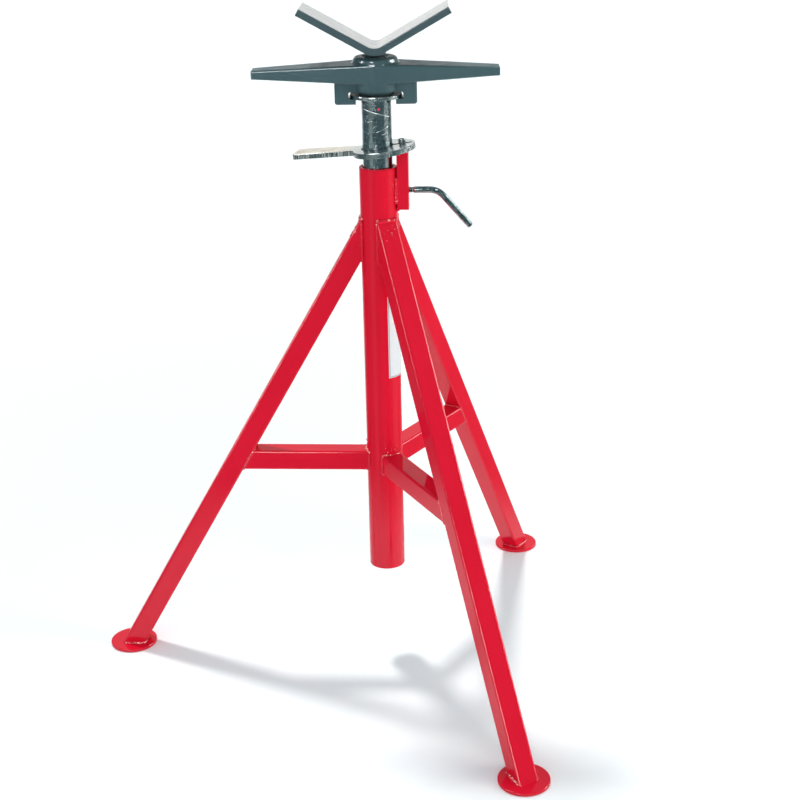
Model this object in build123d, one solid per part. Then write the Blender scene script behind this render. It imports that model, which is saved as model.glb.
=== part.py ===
from build123d import *
from math import sin, cos, tan, radians, pi, sqrt, degrees, atan
import os

os.makedirs("parts", exist_ok=True)

# ---------------------------------------------------------------- driving dimensions (mm, +Z up)
# outer tube
TUBE_OD = 44.45
TUBE_ID = 36.40
TUBE_Z0 = 123.4          # open lower end above the floor
TUBE_Z1 = 640.0          # upper rim
# tripod
LEG_SIDE = 25.4          # square tube
LEG_WALL = 2.5
LEG_R = 2.6              # outside corner radius
LEG_TILT = 30.0          # from the vertical
LEG_R540 = 29.6          # leg centre line, distance from the axis at z = 540
LEG_AZ = {"left": 180.0, "front": -60.0, "rear": 60.0}
LEG_BITE = 0.4           # a leg's upright top cut stands this far inside the tube's side and is coped to it
FOOT_R = 30.0
FOOT_T = 4.0
FOOT_OUT = 2.5           # foot centre outside the leg centre line
BRACE_Z = {"left": 269.8, "front": 268.3, "rear": 269.8}  # centre heights of the braces
# lever bracket, a flat bar welded to the side of the tube
BRKT_X0 = 22.30
BRKT_X1 = 36.10
BRKT_W = 20.0
BRKT_Z0 = 590.0
BRKT_Z1 = 659.6
# clamp lever
LEV_T = 6.0
LEV_TILT = 7.8           # degrees, tongue side low: the holding position
LEV_TURN = -20.0         # the tongue points this much off the bracket's line
LEV_Z = 662.7            # top face on the mast axis
LEV_FULCRUM_X = 22.8     # inner top edge of the bracket
LEV_SCREW_X = 28.6
LEV_R = 36.6             # round end
LEV_CX = 8.4             # centre of the round end from the mast axis
LEV_HOLE_R = 19.0
LEV_SLOT_W = 7.0
LEV_SLOT_X = 41.0
TONGUE_SIDE = 12.9       # the near edge, from the tongue's middle line
TONGUE_FAR = 17.9        # the far edge, at the end; the tongue flares a little
TONGUE_ROOT = 11.4       # the far edge carried on to the mast axis
TONGUE_END = 106.8       # near corner
TONGUE_END_FAR = 112.8   # far corner
TONGUE_CORNER = 5.0
# crank screw
CRANK_Z = 611.7
CRANK_R = 3.95
CRANK_THREAD_R = 3.60
CRANK_ROOT_R = 3.00
CRANK_PITCH = 1.25
CRANK_TIP_X = 17.80
CRANK_SHOULDER_X = 41.2
CRANK_BEND_X = 69.9
CRANK_DROP = 49.0        # degrees below the horizontal
CRANK_LEG = 58.0
CRANK_BEND_R = 22.0
# mast
MAST_OD = 34.90
MAST_ID = 28.10
MAST_Z0 = 130.0
MAST_Z1 = 724.6
FLANGE_R = 30.0
FLANGE_Z0 = 720.4
FLANGE_Z1 = 724.6
# jack handle, one casting
HEAD_TURN = 2.5          # the head stands turned this much against the tripod
BAR_HALF = 141.5
BAR_TIP_H = 9.8
BAR_TIP_W = 25.0
BAR_TIP_Z = 744.0        # underside at the tips
BAR_HUB_H = 23.3
BAR_HUB_W = 52.4
BAR_HUB_Z = 737.5        # underside at the hub
HUB_R = 25.6             # the round hub above the bar
HUB_Z1 = 766.8
HUB_ROUND = 4.5          # its shoulder
BOSS_R = 25.9            # the round boss below the bar
BOSS_Z0 = 728.0
BLEND_R = 3.5            # hub and boss blend into the bar
PAD_R = 20.5             # bears on the mast's flange
PAD_Z0 = 724.9
EAR_X = 47.2
EAR_D = 26.0
EAR_Z0 = 713.5
SLOT_X = 31.4
SLOT_Z0 = 720.0
SLOT_Z1 = 727.8
LIP_X = 23.0
# jack screw
SCREW_R = 12.70
SCREW_ROOT_R = 10.10
SCREW_LEAD = 5.08
SCREW_BORE_R = 12.75     # hole in the casting
BORE_MOUTH_R = 16.5      # countersink in the top of the hole
BORE_MOUTH_T = 2.5
SCREW_Z0 = 597.0
SCREW_Z1 = 767.1
STEM_R = 6.50
STEM_BORE_R = 6.55
STEM_Z0 = 731.0
STOP_R = 13.4
STOP_T = 4.0
# V saddle
V_ARM = 99.5             # along the outer face, from the sharp vertex to the end
V_T = 8.0
V_ANGLE = 29.26          # each arm above the horizontal
V_DEPTH = 68.0
V_BEND_R = 14.5          # inside bend
V_Z = 768.27             # sharp outer vertex
COLLAR_R = 12.6
COLLAR_Z0 = 767.3

LEG_R0 = LEG_R540 + (540.0 - FOOT_T) * tan(radians(LEG_TILT))
FOOT_RAD = LEG_R0 + FOOT_OUT
AXIS_X = FOOT_RAD / 4.0  # puts the middle of the bounding box on x = 0


def save(name, shape, turn=0.0):
    shape = Location((AXIS_X, 0, 0)) * Rotation(0, 0, turn) * shape
    shape.label = name
    export_step(shape, f"parts/{name}.step")


def cyl(r, z0, z1, x=0.0, y=0.0):
    return Location((x, y, z0)) * Cylinder(r, z1 - z0, align=(Align.CENTER, Align.CENTER, Align.MIN))


def box(x0, x1, y0, y1, z0, z1):
    return Location((x0, y0, z0)) * Box(x1 - x0, y1 - y0, z1 - z0, align=(Align.MIN, Align.MIN, Align.MIN))


def square_tube(length):
    outer = extrude(RectangleRounded(LEG_SIDE, LEG_SIDE, LEG_R), length)
    inner = extrude(RectangleRounded(LEG_SIDE - 2 * LEG_WALL, LEG_SIDE - 2 * LEG_WALL, max(LEG_R - LEG_WALL, 0.6)), length)
    return outer - inner


def one(shape):
    """the largest solid of a cut"""
    return sorted(shape.solids(), key=lambda s: s.volume)[-1]


# ---------------------------------------------------------------- outer tube
tube = cyl(TUBE_OD / 2, TUBE_Z0, TUBE_Z1) - cyl(TUBE_ID / 2, TUBE_Z0 - 1, TUBE_Z1 + 1)
tube = chamfer(tube.edges().filter_by(GeomType.CIRCLE).group_by(Axis.Z)[-1], 0.6)
tube = fillet(tube.edges().filter_by(GeomType.CIRCLE).group_by(Axis.Z)[0].sort_by(SortBy.RADIUS)[-1], 0.6)
tip_hole = Location((0, 0, CRANK_Z)) * Rotation(0, 90, 0) * Cylinder(4.6, 60, align=(Align.CENTER, Align.CENTER, Align.MIN))
tube = tube - tip_hole
save("outer_tube", one(tube))

# ---------------------------------------------------------------- legs, braces, feet
tube_solid = cyl(TUBE_OD / 2, 0, 900)
tilt = radians(LEG_TILT)
leg_len = 770.0
for side, az in LEG_AZ.items():
    # leg, built in the XZ plane leaning outwards along +X, then turned; its top is cut upright
    leg = Location((LEG_R0 + 60 * tan(tilt), 0, FOOT_T - 60)) * Rotation(0, -LEG_TILT, 0) * square_tube(leg_len)
    leg = leg - box(-200, 900, -100, 100, -200, FOOT_T)
    leg = leg - tube_solid - box(-200, TUBE_OD / 2 - LEG_BITE, -100, 100, 0, 900)
    leg = one(leg)
    save(f"leg_{side}", leg, az)

    # brace, cut square to the leg's inner face and coped to the tube
    brace = Location((0, 0, BRACE_Z[side])) * Rotation(0, 90, 0) * square_tube(400)
    brace = brace - tube_solid - box(-100, 0, -100, 100, 0, 900)
    inner_face = Location((LEG_R0, 0, FOOT_T)) * Rotation(0, -LEG_TILT, 0) * Location((-LEG_SIDE / 2, 0, 0))
    cutter = inner_face * Location((0, 0, -300)) * Box(600, 200, 1500, align=(Align.MIN, Align.CENTER, Align.MIN))
    brace = one(brace - cutter)
    save(f"brace_{side}", brace, az)

    foot = cyl(FOOT_R, 0, FOOT_T, FOOT_RAD, 0)
    foot = fillet(foot.edges().filter_by(GeomType.CIRCLE), 0.8)
    save(f"foot_{side}", foot, az)

# ---------------------------------------------------------------- blank label on the tube
label = cyl(TUBE_OD / 2 + 0.15, 383, 500) - cyl(TUBE_OD / 2, 380, 503)
label_cut = extrude(Polygon((0, 0), (60 * cos(radians(-66)), 60 * sin(radians(-66))), (60, -60 * tan(radians(20))), (60, 60 * tan(radians(18))), align=None), 900)
label = one(label & label_cut)
save("tube_label", label)

# ---------------------------------------------------------------- lever bracket
brkt = box(BRKT_X0, BRKT_X1, -BRKT_W / 2, BRKT_W / 2, BRKT_Z0, BRKT_Z1)
brkt = fillet(brkt.edges().filter_by(Axis.Z), 0.8)
crank_bore = Location((0, 0, CRANK_Z)) * Rotation(0, 90, 0) * Cylinder(CRANK_THREAD_R + 0.05, 60, align=(Align.CENTER, Align.CENTER, Align.MIN))
brkt = brkt - crank_bore - cyl(2.95, BRKT_Z1 - 18, BRKT_Z1 + 1, LEV_SCREW_X, 0)
save("lever_bracket", one(brkt))

# ---------------------------------------------------------------- clamp lever: flat plate, hole round the mast
plate2d = Location((LEV_CX, 0)) * Circle(LEV_R)
tongue2d = Polygon((0, -TONGUE_SIDE), (0, TONGUE_ROOT), (-TONGUE_END_FAR, TONGUE_FAR), (-TONGUE_END, -TONGUE_SIDE), align=None)
plate2d = plate2d + tongue2d
corners = plate2d.vertices().filter_by(lambda v: v.X < -TONGUE_END + 5)
plate2d = fillet(corners, TONGUE_CORNER)
roots = plate2d.vertices().filter_by(lambda v: -40 < v.X < -15)
plate2d = fillet(roots, 4.0)
plate2d = plate2d - Circle(LEV_HOLE_R)
lever = extrude(plate2d, -LEV_T)
lever = chamfer(lever.edges().group_by(Axis.Z)[-1], 0.4)
lever = Rotation(0, 0, LEV_TURN) * lever
# keyhole slot from the mast hole outwards, in line with the bracket
slot = box(10, LEV_SLOT_X - LEV_SLOT_W / 2, -LEV_SLOT_W / 2, LEV_SLOT_W / 2, -20, 20) + cyl(LEV_SLOT_W / 2, -20, 20, LEV_SLOT_X - LEV_SLOT_W / 2, 0)
lever = one(lever - slot)
lever = Location((0, 0, LEV_Z)) * Rotation(0, -LEV_TILT, 0) * lever
save("clamp_lever", lever)
slope = tan(radians(LEV_TILT))
pivot_z = LEV_Z + LEV_FULCRUM_X * slope - LEV_T / cos(radians(LEV_TILT))
print("lever pivot", LEV_FULCRUM_X + AXIS_X, 0, pivot_z)

# ---------------------------------------------------------------- lever screw: shank in the bracket, head above the plate
head_z = LEV_Z + (LEV_SCREW_X + 4.2) * slope + 0.45
ls = cyl(2.9, BRKT_Z1 - 16, head_z + 0.5, LEV_SCREW_X, 0) + cyl(4.2, head_z, head_z + 4.4, LEV_SCREW_X, 0)
ls = fillet(ls.edges().filter_by(GeomType.CIRCLE).group_by(Axis.Z)[-1], 0.6)
socket = Location((LEV_SCREW_X, 0, head_z + 4.4 - 2.4)) * extrude(RegularPolygon(2.3, 6), 4)
save("lever_screw", one(ls - socket))
print("lever screw top", head_z + 4.4)

# ---------------------------------------------------------------- crank screw
c_dn = radians(CRANK_DROP)
pts = []
x = CRANK_TIP_X
pts.append((x, 0))
pts.append((x, CRANK_ROOT_R - 0.5))
x += 0.8
pts.append((x, CRANK_ROOT_R))
n = int((CRANK_SHOULDER_X - x - 0.5) / CRANK_PITCH)
for i in range(n):
    pts += [(x, CRANK_ROOT_R), (x + 0.52, CRANK_THREAD_R), (x + 0.68, CRANK_THREAD_R), (x + 1.20, CRANK_ROOT_R)]
    x += CRANK_PITCH
pts.append((CRANK_SHOULDER_X, CRANK_ROOT_R))
pts.append((CRANK_SHOULDER_X, CRANK_THREAD_R - 0.3))
pts.append((CRANK_SHOULDER_X + 1.4, CRANK_R))
pts.append((CRANK_SHOULDER_X + 4, CRANK_R))
pts.append((CRANK_SHOULDER_X + 4, 0))
clean = [pts[0]]
for p in pts[1:]:
    if abs(p[0] - clean[-1][0]) > 1e-6 or abs(p[1] - clean[-1][1]) > 1e-6:
        clean.append(p)
prof = make_face(Plane.XZ * Polyline(*clean, close=True))
thread = revolve(prof, Axis.X)
path = FilletPolyline(
    (CRANK_SHOULDER_X + 4, 0, 0),
    (CRANK_BEND_X, 0, 0),
    (CRANK_BEND_X + CRANK_LEG * cos(c_dn), 0, -CRANK_LEG * sin(c_dn)),
    radius=CRANK_BEND_R,
)
rod = sweep(Plane(origin=(CRANK_SHOULDER_X + 4, 0, 0), z_dir=(1, 0, 0)) * Circle(CRANK_R), path)
end_edges = rod.edges().filter_by(GeomType.CIRCLE).sort_by(Axis.X)[-1]
rod = chamfer(end_edges, 0.5)
crank = Location((0, 0, CRANK_Z)) * (thread + rod)
save("crank_screw", one(crank))

# ---------------------------------------------------------------- mast
mast = cyl(MAST_OD / 2, MAST_Z0, MAST_Z1) - cyl(MAST_ID / 2, MAST_Z0 - 1, MAST_Z1 + 1)
mast = chamfer(mast.edges().filter_by(GeomType.CIRCLE).group_by(Axis.Z)[0], 0.6)
save("mast_tube", one(mast), HEAD_TURN)
flange = cyl(FLANGE_R, FLANGE_Z0, FLANGE_Z1)
flange = fillet(flange.edges().filter_by(GeomType.CIRCLE), 0.9)
flange = flange - cyl(MAST_OD / 2, 700, 800)
save("mast_flange", one(flange), HEAD_TURN)

# ---------------------------------------------------------------- jack handle casting
def bar_half(sgn):
    tip = Plane(origin=(sgn * BAR_HALF, 0, BAR_TIP_Z + BAR_TIP_H / 2), z_dir=(sgn, 0, 0), x_dir=(0, 1, 0))
    hub = Plane(origin=(0, 0, BAR_HUB_Z + BAR_HUB_H / 2), z_dir=(sgn, 0, 0), x_dir=(0, 1, 0))
    a = hub * RectangleRounded(BAR_HUB_W, BAR_HUB_H, 2.6)
    b = tip * RectangleRounded(BAR_TIP_W, BAR_TIP_H, 2.0)
    return loft([a, b], ruled=True)


def edges_on(shape, r, z0, z1):
    """the edges of shape that lie on a cylinder of radius r about the axis, between two heights"""
    found = []
    for e in shape.edges():
        ends = [e.position_at(t) for t in (0.0, 0.5, 1.0)]
        if all(abs(sqrt(q.X ** 2 + q.Y ** 2) - r) < 0.06 and z0 <= q.Z <= z1 for q in ends):
            found.append(e)
    return ShapeList(found)


hub = cyl(HUB_R, BAR_HUB_Z + 8, HUB_Z1)
hub = fillet(hub.edges().filter_by(GeomType.CIRCLE).group_by(Axis.Z)[-1], HUB_ROUND)
boss = cyl(BOSS_R, BOSS_Z0, BAR_HUB_Z + 6)
boss = fillet(boss.edges().filter_by(GeomType.CIRCLE).group_by(Axis.Z)[0], 1.2)
casting = bar_half(1) + bar_half(-1) + hub
casting = fillet(edges_on(casting, HUB_R, 745, 762), BLEND_R)
casting = casting + boss
casting = fillet(edges_on(casting, BOSS_R, 730, 745), BLEND_R)
casting = casting + cyl(PAD_R, PAD_Z0, BOSS_Z0 + 4)
for s in (1, -1):
    ear = box(-EAR_X, -10, -EAR_D / 2, EAR_D / 2, EAR_Z0, BAR_HUB_Z + 7)
    ear = fillet(ear.edges().filter_by(Axis.Y).group_by(Axis.X)[0].sort_by(Axis.Z)[0], 3.2)
    ear = fillet(ear.edges().filter_by(Axis.Z).group_by(Axis.X)[0], 3.0)
    ear = ear - cyl(LIP_X, 700, SLOT_Z1) - box(-LIP_X, 0, -50, 50, 700, SLOT_Z1)
    slot = box(-SLOT_X, 0, -50, 50, SLOT_Z0, SLOT_Z1)
    slot = fillet(slot.edges().filter_by(Axis.Y).group_by(Axis.X)[0], 1.6)
    ear = ear - slot
    if s < 0:
        ear = Rotation(0, 0, 180) * ear
    casting = casting + ear
casting = casting - cyl(SCREW_BORE_R, 700, 800)
mouth = Location((0, 0, HUB_Z1 - BORE_MOUTH_T)) * Cone(SCREW_BORE_R, BORE_MOUTH_R, BORE_MOUTH_T, align=(Align.CENTER, Align.CENTER, Align.MIN))
casting = one(casting - mouth)
casting = one(fillet(casting.edges().filter_by(lambda e: abs(abs(e.center().X) - BAR_HALF) < 0.2), 1.2))
save("jack_handle", casting, HEAD_TURN)

# ---------------------------------------------------------------- jack screw
flank = (SCREW_R - SCREW_ROOT_R) * tan(radians(14.5))
crest = SCREW_LEAD / 2 - flank + 0.05
root = SCREW_LEAD - crest - 2 * flank
p = [(0, SCREW_Z0), (SCREW_ROOT_R, SCREW_Z0)]
z = SCREW_Z0 + 2.0
while z + SCREW_LEAD < SCREW_Z1 - 3.0:
    p += [(SCREW_ROOT_R, z), (SCREW_R, z + flank), (SCREW_R, z + flank + crest), (SCREW_ROOT_R, z + 2 * flank + crest)]
    z += SCREW_LEAD
p += [(SCREW_ROOT_R, z), (SCREW_R, z + flank), (SCREW_R, SCREW_Z1 - 0.6), (SCREW_R - 0.6, SCREW_Z1), (STEM_BORE_R, SCREW_Z1),
      (STEM_BORE_R, STEM_Z0 - 1.5), (0, STEM_Z0 - 3.5)]
screw = revolve(make_face(Plane.XZ * Polyline(*p, close=True)), Axis.Z)
screw = screw - cyl(2.5, SCREW_Z0 - 1, SCREW_Z0 + 14)
save("jack_screw", one(screw), HEAD_TURN)

stop = cyl(STOP_R, SCREW_Z0 - STOP_T, SCREW_Z0) - cyl(3.3, SCREW_Z0 - 10, SCREW_Z0 + 1)
save("screw_stop", one(stop), HEAD_TURN)
sb = cyl(2.5, SCREW_Z0 - STOP_T, SCREW_Z0 + 12) + Location((0, 0, SCREW_Z0 - STOP_T - 4.0)) * extrude(RegularPolygon(5.0, 6), 4.0)
save("screw_stop_bolt", one(sb), HEAD_TURN)

# ---------------------------------------------------------------- V saddle
va = radians(V_ANGLE)
L, T = V_ARM, V_T
outer_l = (-L * cos(va), V_Z + L * sin(va))
outer_r = (L * cos(va), V_Z + L * sin(va))
inner_l = (-(L * cos(va) - T * sin(va)), V_Z + L * sin(va) + T * cos(va))
inner_r = (L * cos(va) - T * sin(va), V_Z + L * sin(va) + T * cos(va))
inner_v = (0, V_Z + T / cos(va))
outer_v = (0, V_Z)
vface = make_face(Plane.XZ * Polyline(outer_l, outer_v, outer_r, inner_r, inner_v, inner_l, close=True))
vsol = Location((0, V_DEPTH / 2, 0)) * extrude(vface, V_DEPTH)
ye = vsol.edges().filter_by(Axis.Y)
e_in = ye.filter_by(lambda e: abs(e.center().X) < 0.1 and e.center().Z > V_Z + 1)
e_out = ye.filter_by(lambda e: abs(e.center().X) < 0.1 and e.center().Z < V_Z + 1)
vsol = fillet(e_in, V_BEND_R)
ye = vsol.edges().filter_by(Axis.Y)
e_out = ye.filter_by(lambda e: abs(e.center().X) < 0.1 and e.center().Z < V_Z + 1)
vsol = fillet(e_out, V_BEND_R + V_T)
rim = vsol.edges().filter_by(lambda e: abs(abs(e.center().Y) - V_DEPTH / 2) < 0.01 or (abs(e.center().Y) < 0.01 and abs(e.center().X) > 60))
vsol = one(fillet(rim, 0.7))
save("v_saddle", vsol, HEAD_TURN)

stem = cyl(STEM_R, STEM_Z0, 780) + cyl(COLLAR_R, COLLAR_Z0, 785)
stem = fillet(stem.edges().filter_by(GeomType.CIRCLE).group_by(Axis.Z)[0], 0.8)
v_fill = make_face(Plane.XZ * Polyline(outer_l, outer_v, outer_r, (L * cos(va), V_Z + 200), (-L * cos(va), V_Z + 200), close=True))
v_fill = Location((0, 100, 0)) * extrude(v_fill, 200)
yf = v_fill.edges().filter_by(Axis.Y).filter_by(lambda e: abs(e.center().X) < 0.1 and e.center().Z < V_Z + 1)
v_fill = fillet(yf, V_BEND_R + V_T)
stem = one(stem - v_fill)
save("v_stem", stem, HEAD_TURN)
print("axis x", AXIS_X, "foot radius", FOOT_RAD)
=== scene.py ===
import math

import bmesh
import bpy
from mathutils import Matrix, Vector, noise


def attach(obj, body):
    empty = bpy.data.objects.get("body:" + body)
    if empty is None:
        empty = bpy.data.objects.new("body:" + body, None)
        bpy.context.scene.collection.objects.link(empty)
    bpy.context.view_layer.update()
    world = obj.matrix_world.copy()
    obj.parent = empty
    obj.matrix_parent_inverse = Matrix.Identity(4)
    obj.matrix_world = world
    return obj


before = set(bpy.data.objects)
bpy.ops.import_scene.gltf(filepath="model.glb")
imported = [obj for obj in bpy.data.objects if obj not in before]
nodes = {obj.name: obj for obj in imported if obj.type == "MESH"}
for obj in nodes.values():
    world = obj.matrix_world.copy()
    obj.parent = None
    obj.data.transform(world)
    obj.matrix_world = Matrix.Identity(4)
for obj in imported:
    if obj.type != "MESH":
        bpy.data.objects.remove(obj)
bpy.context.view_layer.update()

# ---------------------------------------------------------------- sizes shared with the CAD, in metres
R = math.radians
FOOT_RAD = 0.3415597442856394
AX = FOOT_RAD / 4.0            # the mast's axis stands at x = AX, y = 0
TUBE_R = 0.022225
TUBE_TOP = 0.640
LEG_HALF = 0.0127
LEG_CORNER = 0.0026
TILT = R(30.0)
FOOT_T = 0.004
LEG_R0 = 0.0296 + (0.540 - FOOT_T) * math.tan(TILT)
BRACE_Z = {"left": 0.2698, "front": 0.2683, "rear": 0.2698}
LEG_CUT = TUBE_R - 0.0004       # upright cut at the top of each leg
LEG_AZ = {"left": R(180.0), "front": R(-60.0), "rear": R(60.0)}
HEAD = R(2.5)
MAST_R = 0.01745
FLANGE_Z0 = 0.7204
FLANGE_Z1 = 0.7246
V_Z = 0.76827
V_SLOPE = R(29.26)
V_OUT_R = 0.0225               # outside bend of the V
COLLAR_R = 0.0126


# ---------------------------------------------------------------- material helpers
def new_mat(name):
    m = bpy.data.materials.new(name)
    m.use_nodes = True
    nt = m.node_tree
    nt.nodes.clear()
    out = nt.nodes.new("ShaderNodeOutputMaterial")
    bsdf = nt.nodes.new("ShaderNodeBsdfPrincipled")
    nt.links.new(bsdf.outputs["BSDF"], out.inputs["Surface"])
    return m, nt, bsdf


class G:
    """small helper to wire shader nodes"""

    def __init__(self, nt):
        self.nt = nt
        self.co = nt.nodes.new("ShaderNodeTexCoord")

    def link(self, a, b):
        self.nt.links.new(a, b)

    def mapping(self, scale=(1, 1, 1), rot=(0, 0, 0), loc=(0, 0, 0), src=None):
        n = self.nt.nodes.new("ShaderNodeMapping")
        n.inputs["Scale"].default_value = scale
        n.inputs["Rotation"].default_value = rot
        n.inputs["Location"].default_value = loc
        self.link(src or self.co.outputs["Object"], n.inputs["Vector"])
        return n.outputs["Vector"]

    def noise(self, scale, detail=2.0, rough=0.5, vec=None, distortion=0.0):
        n = self.nt.nodes.new("ShaderNodeTexNoise")
        n.inputs["Scale"].default_value = scale
        n.inputs["Detail"].default_value = detail
        n.inputs["Roughness"].default_value = rough
        n.inputs["Distortion"].default_value = distortion
        self.link(vec or self.co.outputs["Object"], n.inputs["Vector"])
        return n.outputs["Fac"]

    def voronoi(self, scale, vec=None, feature="F1"):
        n = self.nt.nodes.new("ShaderNodeTexVoronoi")
        n.feature = feature
        n.inputs["Scale"].default_value = scale
        self.link(vec or self.co.outputs["Object"], n.inputs["Vector"])
        return n.outputs["Distance"]

    def rng(self, fac, a, b, lo=0.0, hi=1.0, smooth=False):
        n = self.nt.nodes.new("ShaderNodeMapRange")
        if smooth:
            n.interpolation_type = "SMOOTHSTEP"
        n.inputs["From Min"].default_value = a
        n.inputs["From Max"].default_value = b
        n.inputs["To Min"].default_value = lo
        n.inputs["To Max"].default_value = hi
        self.link(fac, n.inputs["Value"])
        return n.outputs["Result"]

    def math(self, op, a, b=None, clamp=False):
        n = self.nt.nodes.new("ShaderNodeMath")
        n.operation = op
        n.use_clamp = clamp
        for i, v in enumerate((a, b)):
            if v is None:
                continue
            if isinstance(v, (int, float)):
                n.inputs[i].default_value = v
            else:
                self.link(v, n.inputs[i])
        return n.outputs[0]

    def mix(self, fac, a, b, blend="MIX"):
        n = self.nt.nodes.new("ShaderNodeMix")
        n.data_type = "RGBA"
        n.blend_type = blend
        n.clamp_factor = True
        for sock, v in ((n.inputs[0], fac), (n.inputs[6], a), (n.inputs[7], b)):
            if isinstance(v, (int, float)):
                sock.default_value = v
            elif isinstance(v, tuple):
                sock.default_value = (*v, 1.0)
            else:
                self.link(v, sock)
        return n.outputs[2]

    def bump(self, height, strength, distance, prev=None):
        n = self.nt.nodes.new("ShaderNodeBump")
        n.inputs["Strength"].default_value = strength
        n.inputs["Distance"].default_value = distance
        self.link(height, n.inputs["Height"])
        if prev is not None:
            self.link(prev, n.inputs["Normal"])
        return n.outputs["Normal"]

    def soft_edge(self, radius, prev=None):
        """worn, paint-rounded edges"""
        n = self.nt.nodes.new("ShaderNodeBevel")
        n.samples = 6
        n.inputs["Radius"].default_value = radius
        if prev is not None:
            self.link(prev, n.inputs["Normal"])
        return n.outputs["Normal"]

    def xyz(self, vec):
        n = self.nt.nodes.new("ShaderNodeSeparateXYZ")
        self.link(vec, n.inputs[0])
        return n.outputs


def enamel(name, deep, bright, rough=0.24, peel=1.0, cast=0.0, coat=0.6, coat_rough=0.08, edge=0.0, spec=0.3, painted_glints=False):
    """sprayed gloss enamel: faint orange peel, slow changes of tone; cast adds a sand-cast ground; edge rounds the
    paint over edges;
    painted_glints adds small bright flecks that are painted glints on the upper sides of beads and drops"""
    m, nt, b = new_mat(name)
    g = G(nt)
    slow = g.noise(7.0, 3.0, 0.55)
    fine = g.noise(160.0, 3.0, 0.5)
    tone = g.math("ADD", g.math("MULTIPLY", slow, 0.9), g.math("MULTIPLY", fine, 0.1))
    col = g.mix(g.rng(tone, 0.36, 0.64), deep, bright)
    if painted_glints:
        fleck = g.math("MULTIPLY", g.rng(g.noise(520.0, 2.0, 0.6), 0.525, 0.565), g.rng(g.noise(75.0, 1.0, 0.5), 0.45, 0.51))
        # painted glints: light flecks on the upper sides of beads and drops only, where they face the lights
        fleck = g.math("MULTIPLY", fleck, g.rng(g.xyz(g.co.outputs["Normal"])[2], 0.15, 0.35))
        col = g.mix(fleck, col, (0.95, 0.62, 0.56))
    g.link(col, b.inputs["Base Color"])
    r = g.rng(g.noise(40.0, 3.0, 0.6), 0.3, 0.7, rough * 0.85, rough * 1.2)
    g.link(r, b.inputs["Roughness"])
    worn = g.soft_edge(edge) if edge else None
    n1 = g.bump(g.noise(240.0, 1.0, 0.5), 0.035 * peel, 0.0005, worn)
    n2 = g.bump(g.noise(28.0, 1.0, 0.5), 0.05 * peel, 0.0012, n1)
    if cast:
        c1 = g.noise(260.0, 4.0, 0.62)
        n2 = g.bump(c1, 0.55 * cast, 0.0012, n2)
        c2 = g.noise(60.0, 2.0, 0.5)
        n2 = g.bump(c2, 0.5 * cast, 0.0025, n2)
        # the film of paint follows the coarse shapes only
        g.link(g.bump(c2, 0.28 * cast, 0.0020, g.bump(c1, 0.10 * cast, 0.0008, worn)), b.inputs["Coat Normal"])
    elif edge:
        g.link(worn, b.inputs["Coat Normal"])
    g.link(n2, b.inputs["Normal"])
    if cast:
        # the tops of the casting are duller and pitted, from handling and dust
        up = g.rng(g.xyz(g.co.outputs["Normal"])[2], 0.80, 0.97)
        pit = g.rng(g.noise(90.0, 3.0, 0.6), 0.50, 0.62, 0.75, 1.0)
        g.link(g.math("SUBTRACT", coat, g.math("MULTIPLY", g.math("MULTIPLY", up, pit), coat * 0.93)), b.inputs["Coat Weight"])
        g.link(g.math("ADD", r, g.math("MULTIPLY", up, 0.25)), b.inputs["Roughness"])
    else:
        b.inputs["Coat Weight"].default_value = coat
    b.inputs["Coat Roughness"].default_value = coat_rough
    b.inputs["Coat IOR"].default_value = 1.5
    b.inputs["Specular IOR Level"].default_value = spec
    return m


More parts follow.
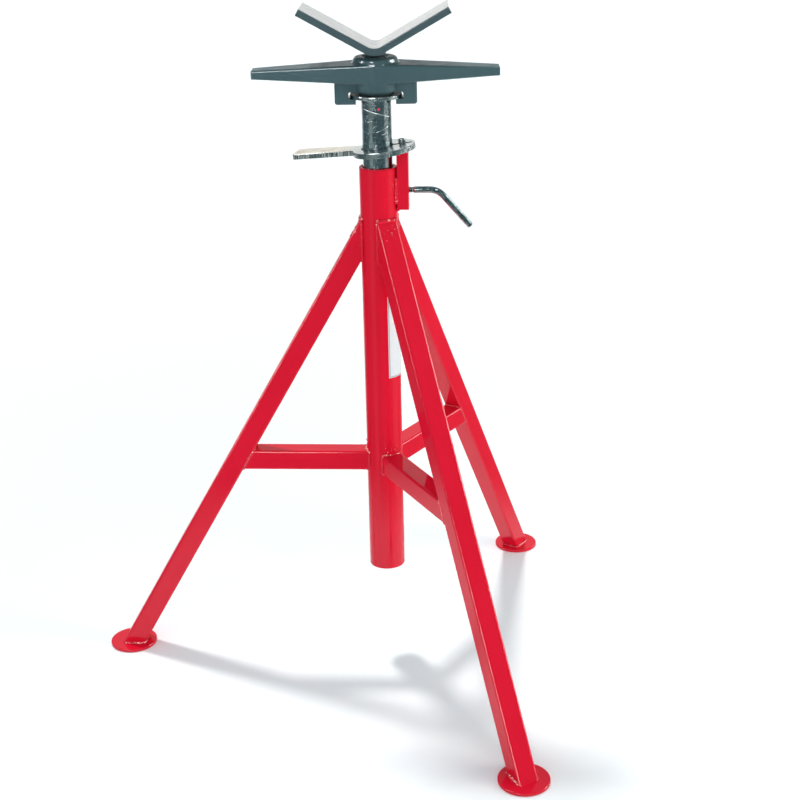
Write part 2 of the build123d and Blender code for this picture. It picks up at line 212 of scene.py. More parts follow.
def plated(name, base, rough=0.2, axis="Z", scratch=1.0, mottled=0.5, spot=None, lines_on_tube=(), tongue=None, dents=0.0, painted_shade=None, fleck=0.0):
    """zinc plate: fine lines along the work, mottled passivation, sparse scratches"""
    m, nt, b = new_mat(name)
    g = G(nt)
    b.inputs["Metallic"].default_value = 1.0
    mott = g.noise(70.0, 4.0, 0.65)
    cloud = g.noise(18.0, 2.0, 0.5)
    dark = tuple(c * 0.55 for c in base)
    light = tuple(min(1.0, c * 1.18) for c in base)
    col = g.mix(g.rng(mott, 0.35, 0.65), dark, light)
    col = g.mix(1.0 - mottled, col, base)
    col = g.mix(g.rng(cloud, 0.40, 0.62, 0.0, 0.35), col, tuple(c * 0.7 for c in base))
    if fleck:
        # dull and bright flecks in the plate
        f1 = g.noise(430.0, 2.0, 0.6)
        f2 = g.noise(560.0, 2.0, 0.6, g.mapping(loc=(0.3, 0.7, 0.1)))
        col = g.mix(g.math("MULTIPLY", g.rng(f1, 0.50, 0.54), fleck), col, tuple(c * 0.22 for c in base))
        col = g.mix(g.math("MULTIPLY", g.rng(f2, 0.56, 0.59), fleck), col, (1.0, 1.0, 1.0))
    # long thin scratches in two directions
    total = None
    for rot, sc, lo in (((0.0, 0.0, 0.4), 0.05, 0.715), ((0.0, R(62), 0.9), 0.05, 0.72), ((R(80), 0.2, 0.0), 0.04, 0.725)):
        sv = g.mapping(scale=(1.0, 1.0, sc), rot=rot)
        s = g.rng(g.noise(520.0, 1.0, 0.5, sv), lo, lo + 0.03)
        total = s if total is None else g.math("MAXIMUM", total, s)
    gate = g.rng(g.noise(45.0, 1.0, 0.5), 0.50, 0.60)
    total = g.math("MULTIPLY", total, gate)
    col = g.mix(g.math("MULTIPLY", total, 0.7 * scratch), col, (0.86, 0.88, 0.88))
    rough_v = g.rng(mott, 0.3, 0.7, rough * 0.75, rough * 1.4)
    rough_v = g.math("ADD", rough_v, g.math("MULTIPLY", total, 0.15))
    if spot is not None:
        # one dot of overspray
        px, py, pz, pr = spot
        x, y, z = g.xyz(g.co.outputs["Object"])[:3]
        d2 = g.math("ADD", g.math("ADD", g.math("POWER", g.math("SUBTRACT", x, px), 2.0), g.math("POWER", g.math("SUBTRACT", y, py), 2.0)),
                    g.math("POWER", g.math("SUBTRACT", z, pz), 2.0))
        dot = g.rng(g.math("SQRT", d2), pr * 0.8, pr, 1.0, 0.0)
        col = g.mix(dot, col, (0.75, 0.015, 0.05))
        g.link(g.math("SUBTRACT", 1.0, dot), b.inputs["Metallic"])
    mark = None
    for th0, th1, z0, slope, width in lines_on_tube:
        # a scored line that climbs round the tube
        x, y, z = g.xyz(g.co.outputs["Object"])[:3]
        th = g.math("ARCTAN2", y, g.math("SUBTRACT", x, AX))
        zl = g.math("ADD", g.math("MULTIPLY", g.math("SUBTRACT", th, th0), slope), z0)
        wob = g.math("MULTIPLY", g.math("SUBTRACT", g.noise(60.0), 0.5), 0.0012)
        off = g.math("ABSOLUTE", g.math("ADD", g.math("SUBTRACT", z, zl), wob))
        one_line = g.rng(off, width * 0.5, width, 1.0, 0.0)
        inside = g.math("MULTIPLY", g.rng(th, th0 - 0.02, th0 + 0.10), g.rng(th, th1 - 0.10, th1 + 0.02, 1.0, 0.0))
        one_line = g.math("MULTIPLY", one_line, inside)
        mark = one_line if mark is None else g.math("MAXIMUM", mark, one_line)
    if mark is not None:
        col = g.mix(g.math("MULTIPLY", mark, 0.85), col, (0.97, 0.98, 0.97))
        rough_v = g.math("ADD", rough_v, g.math("MULTIPLY", mark, 0.35))
    if tongue is not None:
        # warmer passivation on the tongue's flat top, made brighter there as a painted highlight
        x, y, z = g.xyz(g.co.outputs["Object"])[:3]
        flat = g.rng(g.xyz(g.co.outputs["Normal"])[2], 0.7, 0.95)
        away = g.rng(x, AX - 0.020, AX - 0.045)
        col = g.mix(g.math("MULTIPLY", flat, away), col, g.mix(g.rng(g.noise(55.0, 3.0, 0.6), 0.52, 0.72), tongue, tuple(c * 0.62 for c in tongue)))
        # sheared edge: dark, with close upright tears and broader patches whose glints are painted in a light, less
        # metallic colour
        nz = g.math("ABSOLUTE", g.xyz(g.co.outputs["Normal"])[2])
        side = g.rng(nz, 0.35, 0.6, 1.0, 0.0)
        far = g.rng(x, AX - 0.022, AX - 0.034, 0.0, 1.0)
        fine_t = g.noise(820.0, 2.0, 0.6, g.mapping(scale=(1.0, 1.0, 0.05)))
        patch = g.noise(95.0, 2.0, 0.6, g.mapping(scale=(1.0, 1.0, 0.3)))
        edge_dark = g.math("MULTIPLY", side, g.rng(x, AX - 0.010, AX - 0.034, 0.35, 1.0))
        col = g.mix(edge_dark, col, (0.30, 0.33, 0.33))
        tear_glint = g.math("MULTIPLY", g.rng(fine_t, 0.46, 0.62), g.math("MULTIPLY", side, far))
        tear_glint = g.math("MULTIPLY", tear_glint, g.rng(patch, 0.40, 0.56, 0.40, 0.85))
        broad_glint = g.math("MULTIPLY", g.rng(patch, 0.60, 0.68), g.math("MULTIPLY", side, 0.5))
        tear_glint = g.math("MAXIMUM", tear_glint, g.math("MULTIPLY", broad_glint, 0.8))
        col = g.mix(tear_glint, col, (0.66, 0.64, 0.58))
        g.link(g.math("SUBTRACT", 1.0, g.math("MULTIPLY", tear_glint, 0.85)), b.inputs["Metallic"])
    if painted_shade is not None:
        # near-black painted shade in patches over the top of the flange, where it lies under the casting; duller and
        # less metallic there too
        up = g.rng(g.xyz(g.co.outputs["Normal"])[2], 0.6, 0.9)
        shade_cover = g.math("MULTIPLY", up, g.rng(g.noise(140.0, 3.0, 0.6), 0.34, 0.44))
        col = g.mix(shade_cover, col, painted_shade)
        rough_v = g.math("ADD", rough_v, g.math("MULTIPLY", shade_cover, 0.30))
        g.link(g.math("SUBTRACT", 1.0, shade_cover), b.inputs["Metallic"])
    g.link(col, b.inputs["Base Color"])
    g.link(rough_v, b.inputs["Roughness"])
    vec = {"Z": (1.0, 1.0, 0.02), "X": (0.02, 1.0, 1.0), "XY": (0.3, 0.3, 1.0)}[axis]
    lines = g.noise(1500.0, 2.0, 0.5, g.mapping(scale=vec))
    n1 = g.bump(lines, 0.12 * scratch, 0.0002)
    n1 = g.bump(mott, 0.10 * mottled, 0.0006, n1)
    n1 = g.bump(g.noise(12.0, 1.0, 0.5), 0.25, 0.002, n1)
    n1 = g.bump(total, -0.3 * scratch, 0.0001, n1)
    if dents:
        # the plate lies over a wavy, handled surface
        n1 = g.bump(g.noise(120.0, 3.0, 0.6, g.mapping(scale=(1.0, 1.0, 0.6))), 0.42 * dents, 0.0012, n1)
        n1 = g.bump(g.noise(420.0, 2.0, 0.6), 0.22 * dents, 0.0005, n1)
    if mark is not None:
        n1 = g.bump(mark, 0.6, 0.0004, n1)
    if tongue is not None:
        n1 = g.bump(g.math("MULTIPLY", fine_t, side), 0.6, 0.0008, n1)
    g.link(n1, b.inputs["Normal"])
    return m


def film(name):
    m, nt, b = new_mat(name)
    g = G(nt)
    col = g.mix(g.rng(g.noise(30.0, 3.0, 0.6), 0.35, 0.7), (0.70, 0.74, 0.78), (0.80, 0.83, 0.86))
    # a plain printed line round the blank label
    vs = [v.co for v in nodes["tube_label"].data.vertices]
    mid = sum((Vector((v.x - AX, v.y)) for v in vs), Vector((0.0, 0.0)))
    mid = math.atan2(mid.y, mid.x)
    half = max(abs((math.atan2(v.y, v.x - AX) - mid + math.pi) % (2 * math.pi) - math.pi) for v in vs)
    z0, z1 = min(v.z for v in vs), max(v.z for v in vs)
    x, y, z = g.xyz(g.mapping(rot=(0.0, 0.0, -mid), loc=(-AX * math.cos(mid), AX * math.sin(mid), 0.0)))[:3]
    th = g.math("ABSOLUTE", g.math("ARCTAN2", y, x))
    inset = g.math("MINIMUM", g.math("MULTIPLY", g.math("SUBTRACT", half, th), TUBE_R),
                   g.math("MINIMUM", g.math("SUBTRACT", z, z0), g.math("SUBTRACT", z1, z)))
    line = g.math("MULTIPLY", g.rng(inset, 0.0006, 0.0008), g.rng(inset, 0.0017, 0.0019, 1.0, 0.0))
    col = g.mix(g.math("MULTIPLY", line, 0.75), col, (0.16, 0.22, 0.24))
    g.link(col, b.inputs["Base Color"])
    g.link(g.rng(g.noise(90.0), 0.3, 0.7, 0.28, 0.42), b.inputs["Roughness"])
    g.link(g.bump(g.noise(200.0, 2.0), 0.15, 0.0003), b.inputs["Normal"])
    b.inputs["Coat Weight"].default_value = 0.3
    b.inputs["Coat Roughness"].default_value = 0.2
    return m


RED = enamel("red_enamel", (0.650, 0.0060, 0.025), (0.690, 0.0080, 0.030), rough=0.26, peel=0.4, coat=0.72, coat_rough=0.045, spec=0.0)
# the weld enamel carries painted glints: small light flecks on the upper sides of beads and drops
WELD = enamel("red_enamel_weld", (0.650, 0.0060, 0.025), (0.690, 0.0080, 0.030), rough=0.22, peel=2.0, coat=1.0, coat_rough=0.07, spec=0.1, painted_glints=True)
GREY_CAST = enamel("grey_enamel_cast", (0.041, 0.078, 0.088), (0.052, 0.096, 0.107), rough=0.36, peel=1.0, cast=0.50, coat=0.9, coat_rough=0.07, edge=0.0011, spec=0.2)
GREY = enamel("grey_enamel_plate", (0.038, 0.065, 0.073), (0.046, 0.076, 0.085), rough=0.30, peel=1.0, coat=1.0, coat_rough=0.05, edge=0.0009)
dot_az = R(-77.0)
ZINC = plated("zinc_mast", (0.56, 0.64, 0.66), rough=0.17, mottled=0.95, dents=0.5, scratch=2.2, fleck=0.28,
              spot=(AX + MAST_R * math.cos(dot_az), MAST_R * math.sin(dot_az), 0.7090, 0.0016),
              lines_on_tube=((-2.50, -0.50, 0.7088, -0.00477, 0.00055), (-1.50, -0.66, 0.6825, 0.0066, 0.00045),
                             (-1.20, -0.75, 0.6790, 0.0060, 0.00040), (-2.2, -1.75, 0.6940, 0.0045, 0.00035), (0.4, 1.7, 0.6900, 0.0052, 0.00045)))
# the flange's top carries near-black painted shade where the casting sits over it
ZINC_FLANGE = plated("zinc_flange", (0.66, 0.71, 0.71), rough=0.18, mottled=0.4, dents=0.3, axis="XY", painted_shade=(0.03, 0.035, 0.035))
ZINC_PLATE = plated("zinc_lever", (0.66, 0.71, 0.70), rough=0.20, axis="XY", mottled=0.35, tongue=(0.80, 0.715, 0.585))
ZINC_ROD = plated("zinc_rod", (0.54, 0.66, 0.66), rough=0.07, axis="X", mottled=0.9, scratch=1.6, dents=0.30, fleck=0.8)
ZINC_SCREW = plated("zinc_screw", (0.52, 0.56, 0.56), rough=0.20, mottled=0.5, scratch=0.4)
STEEL = plated("machined_steel", (0.26, 0.26, 0.25), rough=0.30, mottled=0.6, scratch=0.5)
FILM = film("label_film")

use = {
    "clamp_lever": ZINC_PLATE, "crank_screw": ZINC_ROD, "mast_tube": ZINC, "mast_flange": ZINC_FLANGE, "lever_screw": ZINC_SCREW,
    "jack_handle": GREY_CAST, "jack_screw": STEEL, "screw_stop": STEEL, "screw_stop_bolt": ZINC_SCREW,
    "v_stem": GREY, "v_saddle": GREY, "tube_label": FILM,
}
for name, o in nodes.items():
    o.data.materials.clear()
    o.data.materials.append(use.get(name, RED))


# ---------------------------------------------------------------- weld beads
def bead(name, pts, radius, body, mat=WELD, closed=False, pitch=0.0026, seed=0, size=None):
    """a run of weld laid along pts: a round bead whose size pulses with each puddle; size gives each point's own factor"""
    pts = [Vector(p) for p in pts]
    size = list(size) if size else [1.0] * len(pts)
    if closed:
        size.append(size[0])
    # even spacing along the run
    loop = pts + ([pts[0]] if closed else [])
    lens = [0.0]
    for a, b_ in zip(loop, loop[1:]):
        lens.append(lens[-1] + (b_ - a).length)
    total = lens[-1]
    step = pitch / 5.0
    n = max(8, int(total / step))
    line = []
    fat = []
    j = 0
    for i in range(n + (0 if closed else 1)):
        s = total * i / n
        while j < len(loop) - 2 and lens[j + 1] < s:
            j += 1
        t = (s - lens[j]) / max(lens[j + 1] - lens[j], 1e-9)
        line.append(loop[j].lerp(loop[j + 1], t))
        fat.append(size[j] * (1 - t) + size[j + 1] * t)
    m = len(line)
    bm = bmesh.new()
    rings = []
    K = 12
    for i, p in enumerate(line):
        a = line[(i - 1) % m] if closed or i > 0 else p
        c = line[(i + 1) % m] if closed or i < m - 1 else p
        t = (c - a).normalized()
        ref = Vector((0, 0, 1)) if abs(t.z) < 0.9 else Vector((1, 0, 0))
        u = t.cross(ref).normalized()
        v = t.cross(u).normalized()
        s = total * i / n
        ph = (s / pitch) % 1.0
        wob = noise.noise(Vector((s * 160.0, seed * 7.3, 1.7)))
        r = radius * fat[i] * (0.86 + 0.17 * math.sin(math.pi * ph) ** 0.6 + 0.10 * wob)
        if not closed:
            e = min(i, m - 1 - i) / 4.0
            if e < 1.0:
                r *= math.sqrt(max(0.03, 1 - (1 - e) ** 2))
        side = radius * 0.10 * noise.noise(Vector((s * 90.0, seed * 3.1, 9.2)))
        ring = [bm.verts.new(p + u * (r * math.cos(k * 2 * math.pi / K) + side) + v * (r * math.sin(k * 2 * math.pi / K))) for k in range(K)]
        rings.append(ring)
    spans = range(m) if closed else range(m - 1)
    for i in spans:
        a, c = rings[i], rings[(i + 1) % m]
        for k in range(K):
            bm.faces.new((a[k], a[(k + 1) % K], c[(k + 1) % K], c[k]))
    if not closed:
        bm.faces.new(list(reversed(rings[0])))
        bm.faces.new(rings[-1])
    bmesh.ops.recalc_face_normals(bm, faces=bm.faces)
    me = bpy.data.meshes.new(name)
    bm.to_mesh(me)
    bm.free()
    for f in me.polygons:
        f.use_smooth = True
    o = bpy.data.objects.new(name, me)
    bpy.context.scene.collection.objects.link(o)
    me.materials.append(mat)
    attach(o, body)
    return o


def around(az, p):
    """a point built with the leg along +X, turned to its azimuth"""
    x, y, z = p
    return Vector((AX + x * math.cos(az) - y * math.sin(az), x * math.sin(az) + y * math.cos(az), z))


def square_loop(half, corner, per_side=10, per_corner=5):
    """points (u, v) round a square with rounded corners, anticlockwise"""
    pts = []
    for q in range(4):
        a0 = q * math.pi / 2
        cx, cy = (half - corner), (half - corner)
        # side, then corner
        for i in range(per_side):
            t = -1 + 2 * i / per_side
            pts.append(Vector((half, t * cy, 0)).xy.to_3d() if q == 0 else Matrix.Rotation(a0, 3, "Z") @ Vector((half, t * cy, 0)))
        for i in range(per_corner):
            a = (i / per_corner) * math.pi / 2
            pts.append(Matrix.Rotation(a0, 3, "Z") @ Vector((cx + corner * math.cos(a), cy + corner * math.sin(a), 0)))
    return [(p.x, p.y) for p in pts]


def rnd(n, m):
    """a repeatable number from 0 to 1"""
    v = math.sin(n * 127.1 + m * 311.7) * 43758.5453
    return v - math.floor(v)


sq = square_loop(LEG_HALF, LEG_CORNER)
for k, (side, az) in enumerate(LEG_AZ.items()):
    # leg to tube: the cut is upright, so the weld is fatter towards the leg's sides, where the round tube falls away
    run, size = [], []
    for u, v in sq:
        on_tube = math.sqrt(TUBE_R ** 2 - v * v)
        w = (LEG_R0 + u * math.cos(TILT) - LEG_CUT) / math.sin(TILT)
        gap = max(0.0, LEG_CUT - on_tube)
        run.append(around(az, ((on_tube + max(LEG_CUT, on_tube)) / 2, v, FOOT_T + u * math.sin(TILT) + w * math.cos(TILT))))
        # the run across the top is the proudest, the sides are nearly flush
        size.append((1.95 if u > LEG_HALF - 0.001 else 0.85) + gap / 0.0045)
    bead(f"weld_leg_top_{side}", run, 0.0013, "frame", closed=True, seed=k, size=size, pitch=0.0032)
    # brace to tube
    bz = BRACE_Z[side]
    run = [around(az, (math.sqrt(TUBE_R ** 2 - v * v) + 0.0003, v, bz + u)) for u, v in sq]
    bead(f"weld_brace_in_{side}", run, 0.0019, "frame", closed=True, seed=10 + k, pitch=0.0032)
    # brace to leg
    run = [around(az, (LEG_R0 + (-LEG_HALF - (bz + u - FOOT_T) * math.sin(TILT)) / math.cos(TILT), v * 0.93, bz + u)) for u, v in sq]
    bead(f"weld_brace_out_{side}", run, 0.0017, "frame", closed=True, seed=20 + k, pitch=0.0032)
    # leg to foot: both sides and the inner edge, none on the outer edge
    part = [(u, v) for u, v in sq if u < LEG_HALF - 0.0016]
    part.sort(key=lambda q: math.atan2(q[1], -q[0]))
    run = [around(az, (LEG_R0 + u / math.cos(TILT), v, FOOT_T + 0.0003)) for u, v in part]
    bead(f"weld_foot_{side}", run, 0.0019, "frame", seed=30 + k, pitch=0.0036, size=[0.75 + 0.5 * rnd(q, k) for q in range(len(part))])

# bracket to tube, a run each side and one under its lower end
for s, tag in ((-1, "near"), (1, "far")):
    run = [(AX + 0.0212, s * 0.0090, 0.5960 + 0.0320 * i / 12) for i in range(13)]
    bead(f"weld_bracket_{tag}", run, 0.0027, "frame", seed=40 + s, size=[0.70 + 0.60 * rnd(i, 90 + s) for i in range(13)])
run = [(AX + 0.0232 - 0.0011 * abs(t) ** 2, 0.0078 * t, 0.5893) for t in [-1 + i / 6 for i in range(13)]]
bead("weld_bracket_under", run, 0.0024, "frame", seed=43)


def spatter(name, spots, body, mat):
    """small drops of weld spatter under the paint; each spot is (point, normal, radius)"""
    bm = bmesh.new()
    for n, (p, nrm, r) in enumerate(spots):
        p, nrm = Vector(p), Vector(nrm).normalized()
        ref = Vector((0, 0, 1)) if abs(nrm.z) < 0.9 else Vector((1, 0, 0))
        u = nrm.cross(ref).normalized()
        v = nrm.cross(u)
        rings = []
        for a in (-20, 12, 38, 64):
            rr, h = r * math.cos(R(a)), r * 0.85 * math.sin(R(a))
            rings.append([bm.verts.new(p + nrm * h + u * (rr * math.cos(t) * (1 + 0.12 * math.sin(n * 2.1 + t))) + v * (rr * math.sin(t)))
                          for t in [q * math.pi / 5 for q in range(10)]])
        for a, c in zip(rings, rings[1:]):
            for q in range(10):
                bm.faces.new((a[q], a[(q + 1) % 10], c[(q + 1) % 10], c[q]))
        top = bm.verts.new(p + nrm * r * 0.85)
        for q in range(10):
            bm.faces.new((rings[-1][q], rings[-1][(q + 1) % 10], top))
        bm.faces.new(list(reversed(rings[0])))
    bmesh.ops.recalc_face_normals(bm, faces=bm.faces)
    me = bpy.data.meshes.new(name)
    bm.to_mesh(me)
    bm.free()
    for f in me.polygons:
        f.use_smooth = True
    o = bpy.data.objects.new(name, me)
    bpy.context.scene.collection.objects.link(o)
    me.materials.append(mat)
    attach(o, body)
    return o


for k, (side, az) in enumerate(LEG_AZ.items()):
    spots = []
    for n in range(24):
        a, b_, c = rnd(n, k + 1), rnd(n, k + 11), rnd(n, k + 21)
        w = (LEG_R0 + LEG_HALF * math.cos(TILT) - LEG_CUT) / math.sin(TILT) - 0.006 - 0.024 * a * a
        if n % 3:
            # on the leg's upper face
            u, v, nrm = LEG_HALF, (b_ - 0.5) * 0.019, (math.cos(TILT), 0, math.sin(TILT))
        else:
            # on one of its sides
            sg = 1 if b_ > 0.5 else -1
            u, v, nrm = (c - 0.3) * 0.014, sg * LEG_HALF, (0, sg, 0)
        p = around(az, (LEG_R0 + u * math.cos(TILT) - w * math.sin(TILT), v, FOOT_T + u * math.sin(TILT) + w * math.cos(TILT)))
        q = around(az, nrm) - Vector((AX, 0, 0))
        spots.append((p, q, 0.0005 + 0.0008 * c * c))
    for n in range(10):
        # on the tube above the brace
        a, b_, c = rnd(n, k + 31), rnd(n, k + 41), rnd(n, k + 51)
        t = (b_ - 0.5) * 0.9
        p = around(az, (TUBE_R * math.cos(t), TUBE_R * math.sin(t), BRACE_Z[side] + LEG_HALF + 0.004 + 0.014 * a))
        spots.append((p, around(az, (math.cos(t), math.sin(t), 0)) - Vector((AX, 0, 0)), 0.0006 + 0.0008 * c * c))
    spatter(f"spatter_{side}", spots, "frame", WELD)
spots = []
for n in range(12):
    a, b_, c = rnd(n, 61), rnd(n, 71), rnd(n, 81)
    t = R(-33 - 16 * b_)
    spots.append(((AX + TUBE_R * math.cos(t), TUBE_R * math.sin(t), 0.600 + 0.030 * a), (math.cos(t), math.sin(t), 0), 0.0004 + 0.0005 * c))
spatter("spatter_bracket", spots, "frame", WELD)

# flange to mast, underneath
run = [(AX + MAST_R * math.cos(a), MAST_R * math.sin(a), FLANGE_Z0 - 0.0003) for a in [i * math.pi / 30 for i in range(60)]]
bead("weld_flange", run, 0.0014, "mast", mat=ZINC, closed=True, seed=50, pitch=0.0022)


# V to its collar
def v_under(x):
    r = V_OUT_R
    if abs(x) < r * math.sin(V_SLOPE):
        return V_Z + r / math.cos(V_SLOPE) - math.sqrt(r * r - x * x)
    return V_Z + abs(x) * math.tan(V_SLOPE)


run = []
for i in range(72):
    a = i * math.pi / 36
    x, y = COLLAR_R * math.cos(a), COLLAR_R * math.sin(a)
    run.append((AX + x * math.cos(HEAD) - y * math.sin(HEAD), x * math.sin(HEAD) + y * math.cos(HEAD), v_under(x) - 0.0002))
bead("weld_saddle", run, 0.0013, "saddle", mat=GREY, closed=True, seed=60, pitch=0.0024)

# ---------------------------------------------------------------- stage: one wide pale floor
def stage_sheet():
    me = bpy.data.meshes.new("floor")
    bm = bmesh.new()
    rows = []
    for y in (-12.0, -4.0, -1.0, 0.0, 1.0, 4.0, 12.0):
        rows.append([bm.verts.new((x, y, 0.0)) for x in (-12.0, -4.0, -1.0, 0.0, 1.0, 4.0, 12.0)])
    for a, b_ in zip(rows, rows[1:]):
        for i in range(6):
            bm.faces.new((a[i], a[i + 1], b_[i + 1], b_[i]))
    bm.to_mesh(me)
    bm.free()
    o = bpy.data.objects.new("floor", me)
    bpy.context.scene.collection.objects.link(o)
    return o


SOFTBOXES = (  # what shiny surfaces see round the stand: azimuth in degrees, colour
    (-180, (0.10, 0.15, 0.165)), (-150, (0.10, 0.15, 0.165)), (-144, (0.34, 0.41, 0.39)), (-125, (0.34, 0.41, 0.39)),
    (-118, (0.10, 0.155, 0.17)), (-30, (0.10, 0.155, 0.17)), (-20, (0.46, 0.52, 0.51)), (10, (0.46, 0.52, 0.51)),
    (18, (0.12, 0.165, 0.18)), (48, (0.16, 0.20, 0.21)), (64, (1.12, 1.12, 1.11)), (128, (1.12, 1.12, 1.11)),
    (142, (0.12, 0.165, 0.18)), (180, (0.10, 0.15, 0.165)),
)


def surround(nt, vec, centre=0.0):
    """colour of the studio's softboxes and dark flags in the direction of vec, as seen in shiny surfaces"""
    sep = nt.nodes.new("ShaderNodeSeparateXYZ")
    nt.links.new(vec, sep.inputs[0])
    sub = nt.nodes.new("ShaderNodeMath")
    sub.operation = "SUBTRACT"
    sub.inputs[1].default_value = centre
    nt.links.new(sep.outputs[0], sub.inputs[0])
    at = nt.nodes.new("ShaderNodeMath")
    at.operation = "ARCTAN2"
    nt.links.new(sep.outputs[1], at.inputs[0])
    nt.links.new(sub.outputs[0], at.inputs[1])
    mr = nt.nodes.new("ShaderNodeMapRange")
    mr.inputs["From Min"].default_value = -math.pi
    mr.inputs["From Max"].default_value = math.pi
    nt.links.new(at.outputs[0], mr.inputs["Value"])
    ramp = nt.nodes.new("ShaderNodeValToRGB")
    nt.links.new(mr.outputs["Result"], ramp.inputs[0])
    el = ramp.color_ramp.elements
    el[0].position, el[0].color = 0.0, (*SOFTBOXES[0][1], 1.0)
    el[1].position, el[1].color = 1.0, (*SOFTBOXES[-1][1], 1.0)
    for az, col in SOFTBOXES[1:-1]:
        e = el.new((az + 180.0) / 360.0)
        e.color = (*col, 1.0)
    return ramp.outputs["Color"], sep.outputs[2]


floor = stage_sheet()
fm, fnt, fb = new_mat("studio_white")
fg = G(fnt)
fb.inputs["Roughness"].default_value = 0.8
fb.inputs["Specular IOR Level"].default_value = 0.1
fg.link(fg.mix(fg.rng(fg.noise(0.8, 2.0), 0.3, 0.7), (0.855, 0.875, 0.895), (0.87, 0.885, 0.90)), fb.inputs["Base Color"])
fx, fy = fg.xyz(fg.co.outputs["Object"])[:2]
dist = fg.math("SQRT", fg.math("ADD", fg.math("POWER", fg.math("SUBTRACT", fx, 0.05), 2.0), fg.math("POWER", fy, 2.0)))
fb.inputs["Emission Color"].default_value = (1.0, 1.0, 1.0, 1.0)
fg.link(fg.rng(dist, 0.50, 2.5, 0.0, 0.16, smooth=True), fb.inputs["Emission Strength"])
far_em = fnt.nodes.new("ShaderNodeEmission")
fg.link(surround(fnt, fg.co.outputs["Object"], AX)[0], far_em.inputs["Color"])
fmix = fnt.nodes.new("ShaderNodeMixShader")
path = fnt.nodes.new("ShaderNodeLightPath")
fg.link(fg.math("MULTIPLY", path.outputs["Is Glossy Ray"], fg.rng(dist, 0.30, 0.62, 0.0, 1.0, smooth=True)), fmix.inputs[0])
fg.link(fb.outputs[0], fmix.inputs[1])
fg.link(far_em.outputs[0], fmix.inputs[2])
fout = [n for n in fnt.nodes if n.type == "OUTPUT_MATERIAL"][0]
fg.link(fmix.outputs[0], fout.inputs["Surface"])
floor.data.materials.append(fm)


# ---------------------------------------------------------------- lights
def area(name, loc, target, size, power, color=(1, 1, 1), size_y=None, mirrored=True):
    d = bpy.data.lights.new(name, "AREA")
    d.shape = "RECTANGLE"
    d.size = size
    d.size_y = size_y or size
    d.energy = power
    d.color = color
    o = bpy.data.objects.new(name, d)
    bpy.context.scene.collection.objects.link(o)
    o.location = loc
    o.rotation_mode = "QUATERNION"
    o.rotation_quaternion = (Vector(target) - Vector(loc)).to_track_quat("-Z", "Y")
    o.visible_glossy = mirrored
    return o


# the key is a large softbox far off, up behind the stand's left shoulder: nearly parallel, 6.5 degrees across
kd = bpy.data.lights.new("key_top", "SUN")
kd.angle = R(6.5)
kd.energy = 1.74
kd.color = (1.0, 0.985, 0.96)
key = bpy.data.objects.new("key_top", kd)
bpy.context.scene.collection.objects.link(key)
key.location = (-1.5, 2.2, 6.0)
key.rotation_mode = "QUATERNION"
key.rotation_quaternion = Vector((0.225, -0.365, -1.0)).to_track_quat("-Z", "Y")
key.visible_glossy = False
area("fill_right", (2.2, -0.45, 0.75), (0.08, 0.0, 0.35), 0.9, 20.0, color=(1.0, 0.93, 0.82), mirrored=False)
area("fill_left", (-1.7, -1.5, 0.65), (0.0, 0.0, 0.35), 0.7, 5.0, mirrored=False)
area("fill_front", (0.3, -2.6, 0.55), (0.08, 0.0, 0.4), 1.2, 4.5, mirrored=False)
area("front_top", (-0.05, -1.75, 1.95), (0.08, 0.0, 0.45), 0.6, 3.0, size_y=0.25, mirrored=False)
area("spark", (0.9, -1.3, 2.3), (0.08, 0.0, 0.5), 0.22, 2.2)

world = bpy.data.worlds.new("studio")
bpy.context.scene.world = world
world.use_nodes = True
wn = world.node_tree
wn.nodes.clear()
wo = wn.nodes.new("ShaderNodeOutputWorld")
wb = wn.nodes.new("ShaderNodeBackground")
wn.links.new(wb.outputs[0], wo.inputs[0])
wg = G(wn)
wcol, wz = surround(wn, wg.co.outputs["Generated"])
wx, wy = wg.xyz(wg.co.outputs["Generated"])[:2]
# two bright softboxes, one high up on the left and one low on the right, under a dim ceiling
roof = wg.math("MULTIPLY", wg.rng(wz, 0.93, 0.98, smooth=True), 0.25)
for ax_, ay_, az_ in ((-0.48, 0.04, 0.875), (0.888, 0.37, 0.27)):
    dp = wg.math("ADD", wg.math("ADD", wg.math("MULTIPLY", wx, ax_), wg.math("MULTIPLY", wy, ay_)), wg.math("MULTIPLY", wz, az_))
    roof = wg.math("ADD", roof, wg.rng(dp, math.cos(R(12)), math.cos(R(9)), 0.0, 9.0, smooth=True))
# two tall narrow strip lights above the horizon, left and right of the camera
waz = wg.math("ARCTAN2", wy, wx)
band = None
for mid, half, power in ((-104.0, 8.0, 20.0), (-160.0, 6.0, 22.0), (8.0, 8.0, 22.0)):
    one = wg.rng(wg.math("ABSOLUTE", wg.math("SUBTRACT", waz, R(mid))), R(half - 1.5), R(half + 1.5), power, 0.0, smooth=True)
    band = one if band is None else wg.math("ADD", band, one)
band = wg.math("MULTIPLY", band, wg.math("MULTIPLY", wg.rng(wz, 0.02, 0.08, smooth=True), wg.rng(wz, 0.36, 0.41, 1.0, 0.0, smooth=True)))
# a reflection of a reflection keeps only a little of them
wp = wn.nodes.new("ShaderNodeLightPath")
glow = wg.math("MULTIPLY", wg.math("ADD", roof, band), wg.rng(wp.outputs["Glossy Depth"], 1.2, 1.8, 1.0, 0.06))
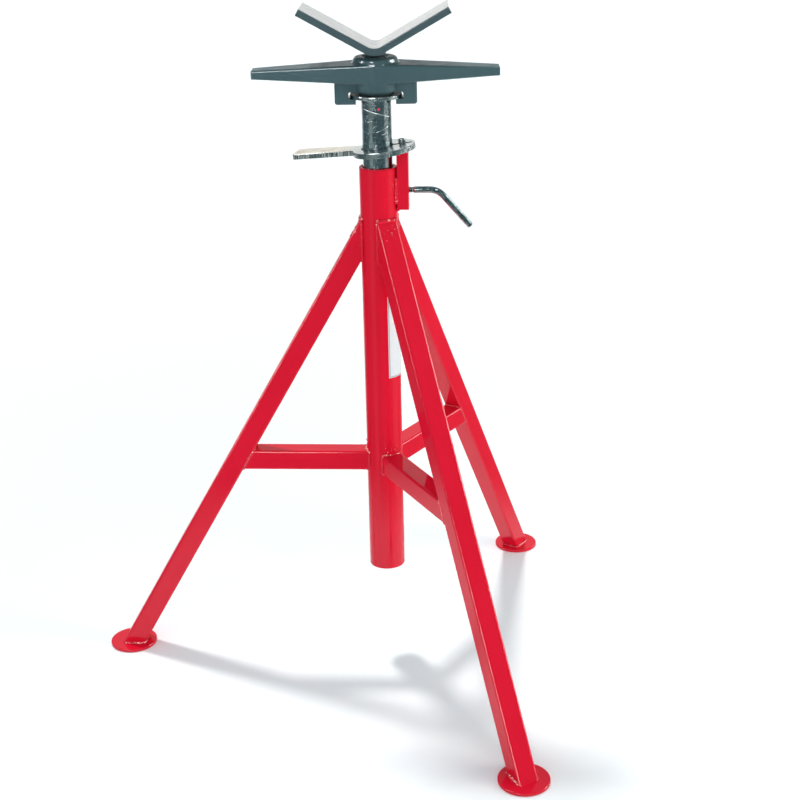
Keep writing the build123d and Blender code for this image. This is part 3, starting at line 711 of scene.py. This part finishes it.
# behind the stand the white backdrop is low and no wider than the stand needs; above it the room is darker
wcol = wg.mix(wg.rng(wg.math("ABSOLUTE", wg.math("SUBTRACT", waz, R(96.0))), R(16), R(21), smooth=True), wcol,
              wg.mix(1.0, wcol, (0.20, 0.25, 0.26), "DARKEN"))
wcol = wg.mix(wg.rng(wz, 0.17, 0.25, smooth=True), wcol, wg.mix(wg.rng(wz, 0.50, 0.66, smooth=True), wg.mix(0.52, wcol, (0.10, 0.155, 0.17)), (0.10, 0.155, 0.17)))
glow3 = wn.nodes.new("ShaderNodeCombineXYZ")
for i in range(3):
    wg.link(glow, glow3.inputs[i])
# a panel to the right, above the horizon
panel = wg.math("MULTIPLY", wg.rng(wg.math("ABSOLUTE", wg.math("SUBTRACT", waz, R(12.0))), R(20), R(26), 1.0, 0.0, smooth=True),
                wg.math("MULTIPLY", wg.rng(wz, 0.38, 0.43, smooth=True), wg.rng(wz, 0.54, 0.60, 1.0, 0.0, smooth=True)))
wcol = wg.mix(panel, wcol, (1.9, 2.0, 2.0))
shiny = wg.mix(1.0, wcol, glow3.outputs[0], "ADD")
soft = (0.510, 0.612, 0.642)
wlit = wg.mix(wp.outputs["Is Glossy Ray"], soft, shiny)
wg.link(wg.mix(wp.outputs["Is Camera Ray"], wlit, (1.0, 1.0, 1.0)), wb.inputs["Color"])
wb.inputs["Strength"].default_value = 1.0

# ---------------------------------------------------------------- camera
cam_data = bpy.data.cameras.new("camera")
cam = bpy.data.objects.new("camera", cam_data)
bpy.context.scene.collection.objects.link(cam)
cam_data.sensor_fit = "HORIZONTAL"
cam_data.sensor_width = 36.0
cam_data.lens = 67.5
cam_data.clip_start = 0.05
cam_data.clip_end = 60.0
right = Vector((0.9982721970458627, 0.055608144595154875, -0.018983015037420614))
down = Vector((0.0026713944546064186, -0.3656829060120088, -0.9307356638177569))
fwd = Vector((-0.0586982474771989, 0.9290768248671887, -0.36519962929582617))
rot = Matrix((right, -down, -fwd)).transposed().to_4x4()
cam.matrix_world = Matrix.Translation((0.21468700312242822, -1.724299485929678, 1.0245403816128924)) @ rot
bpy.context.scene.camera = cam
bpy.context.scene.view_settings.view_transform = "Standard"
bpy.context.scene.view_settings.look = "None"
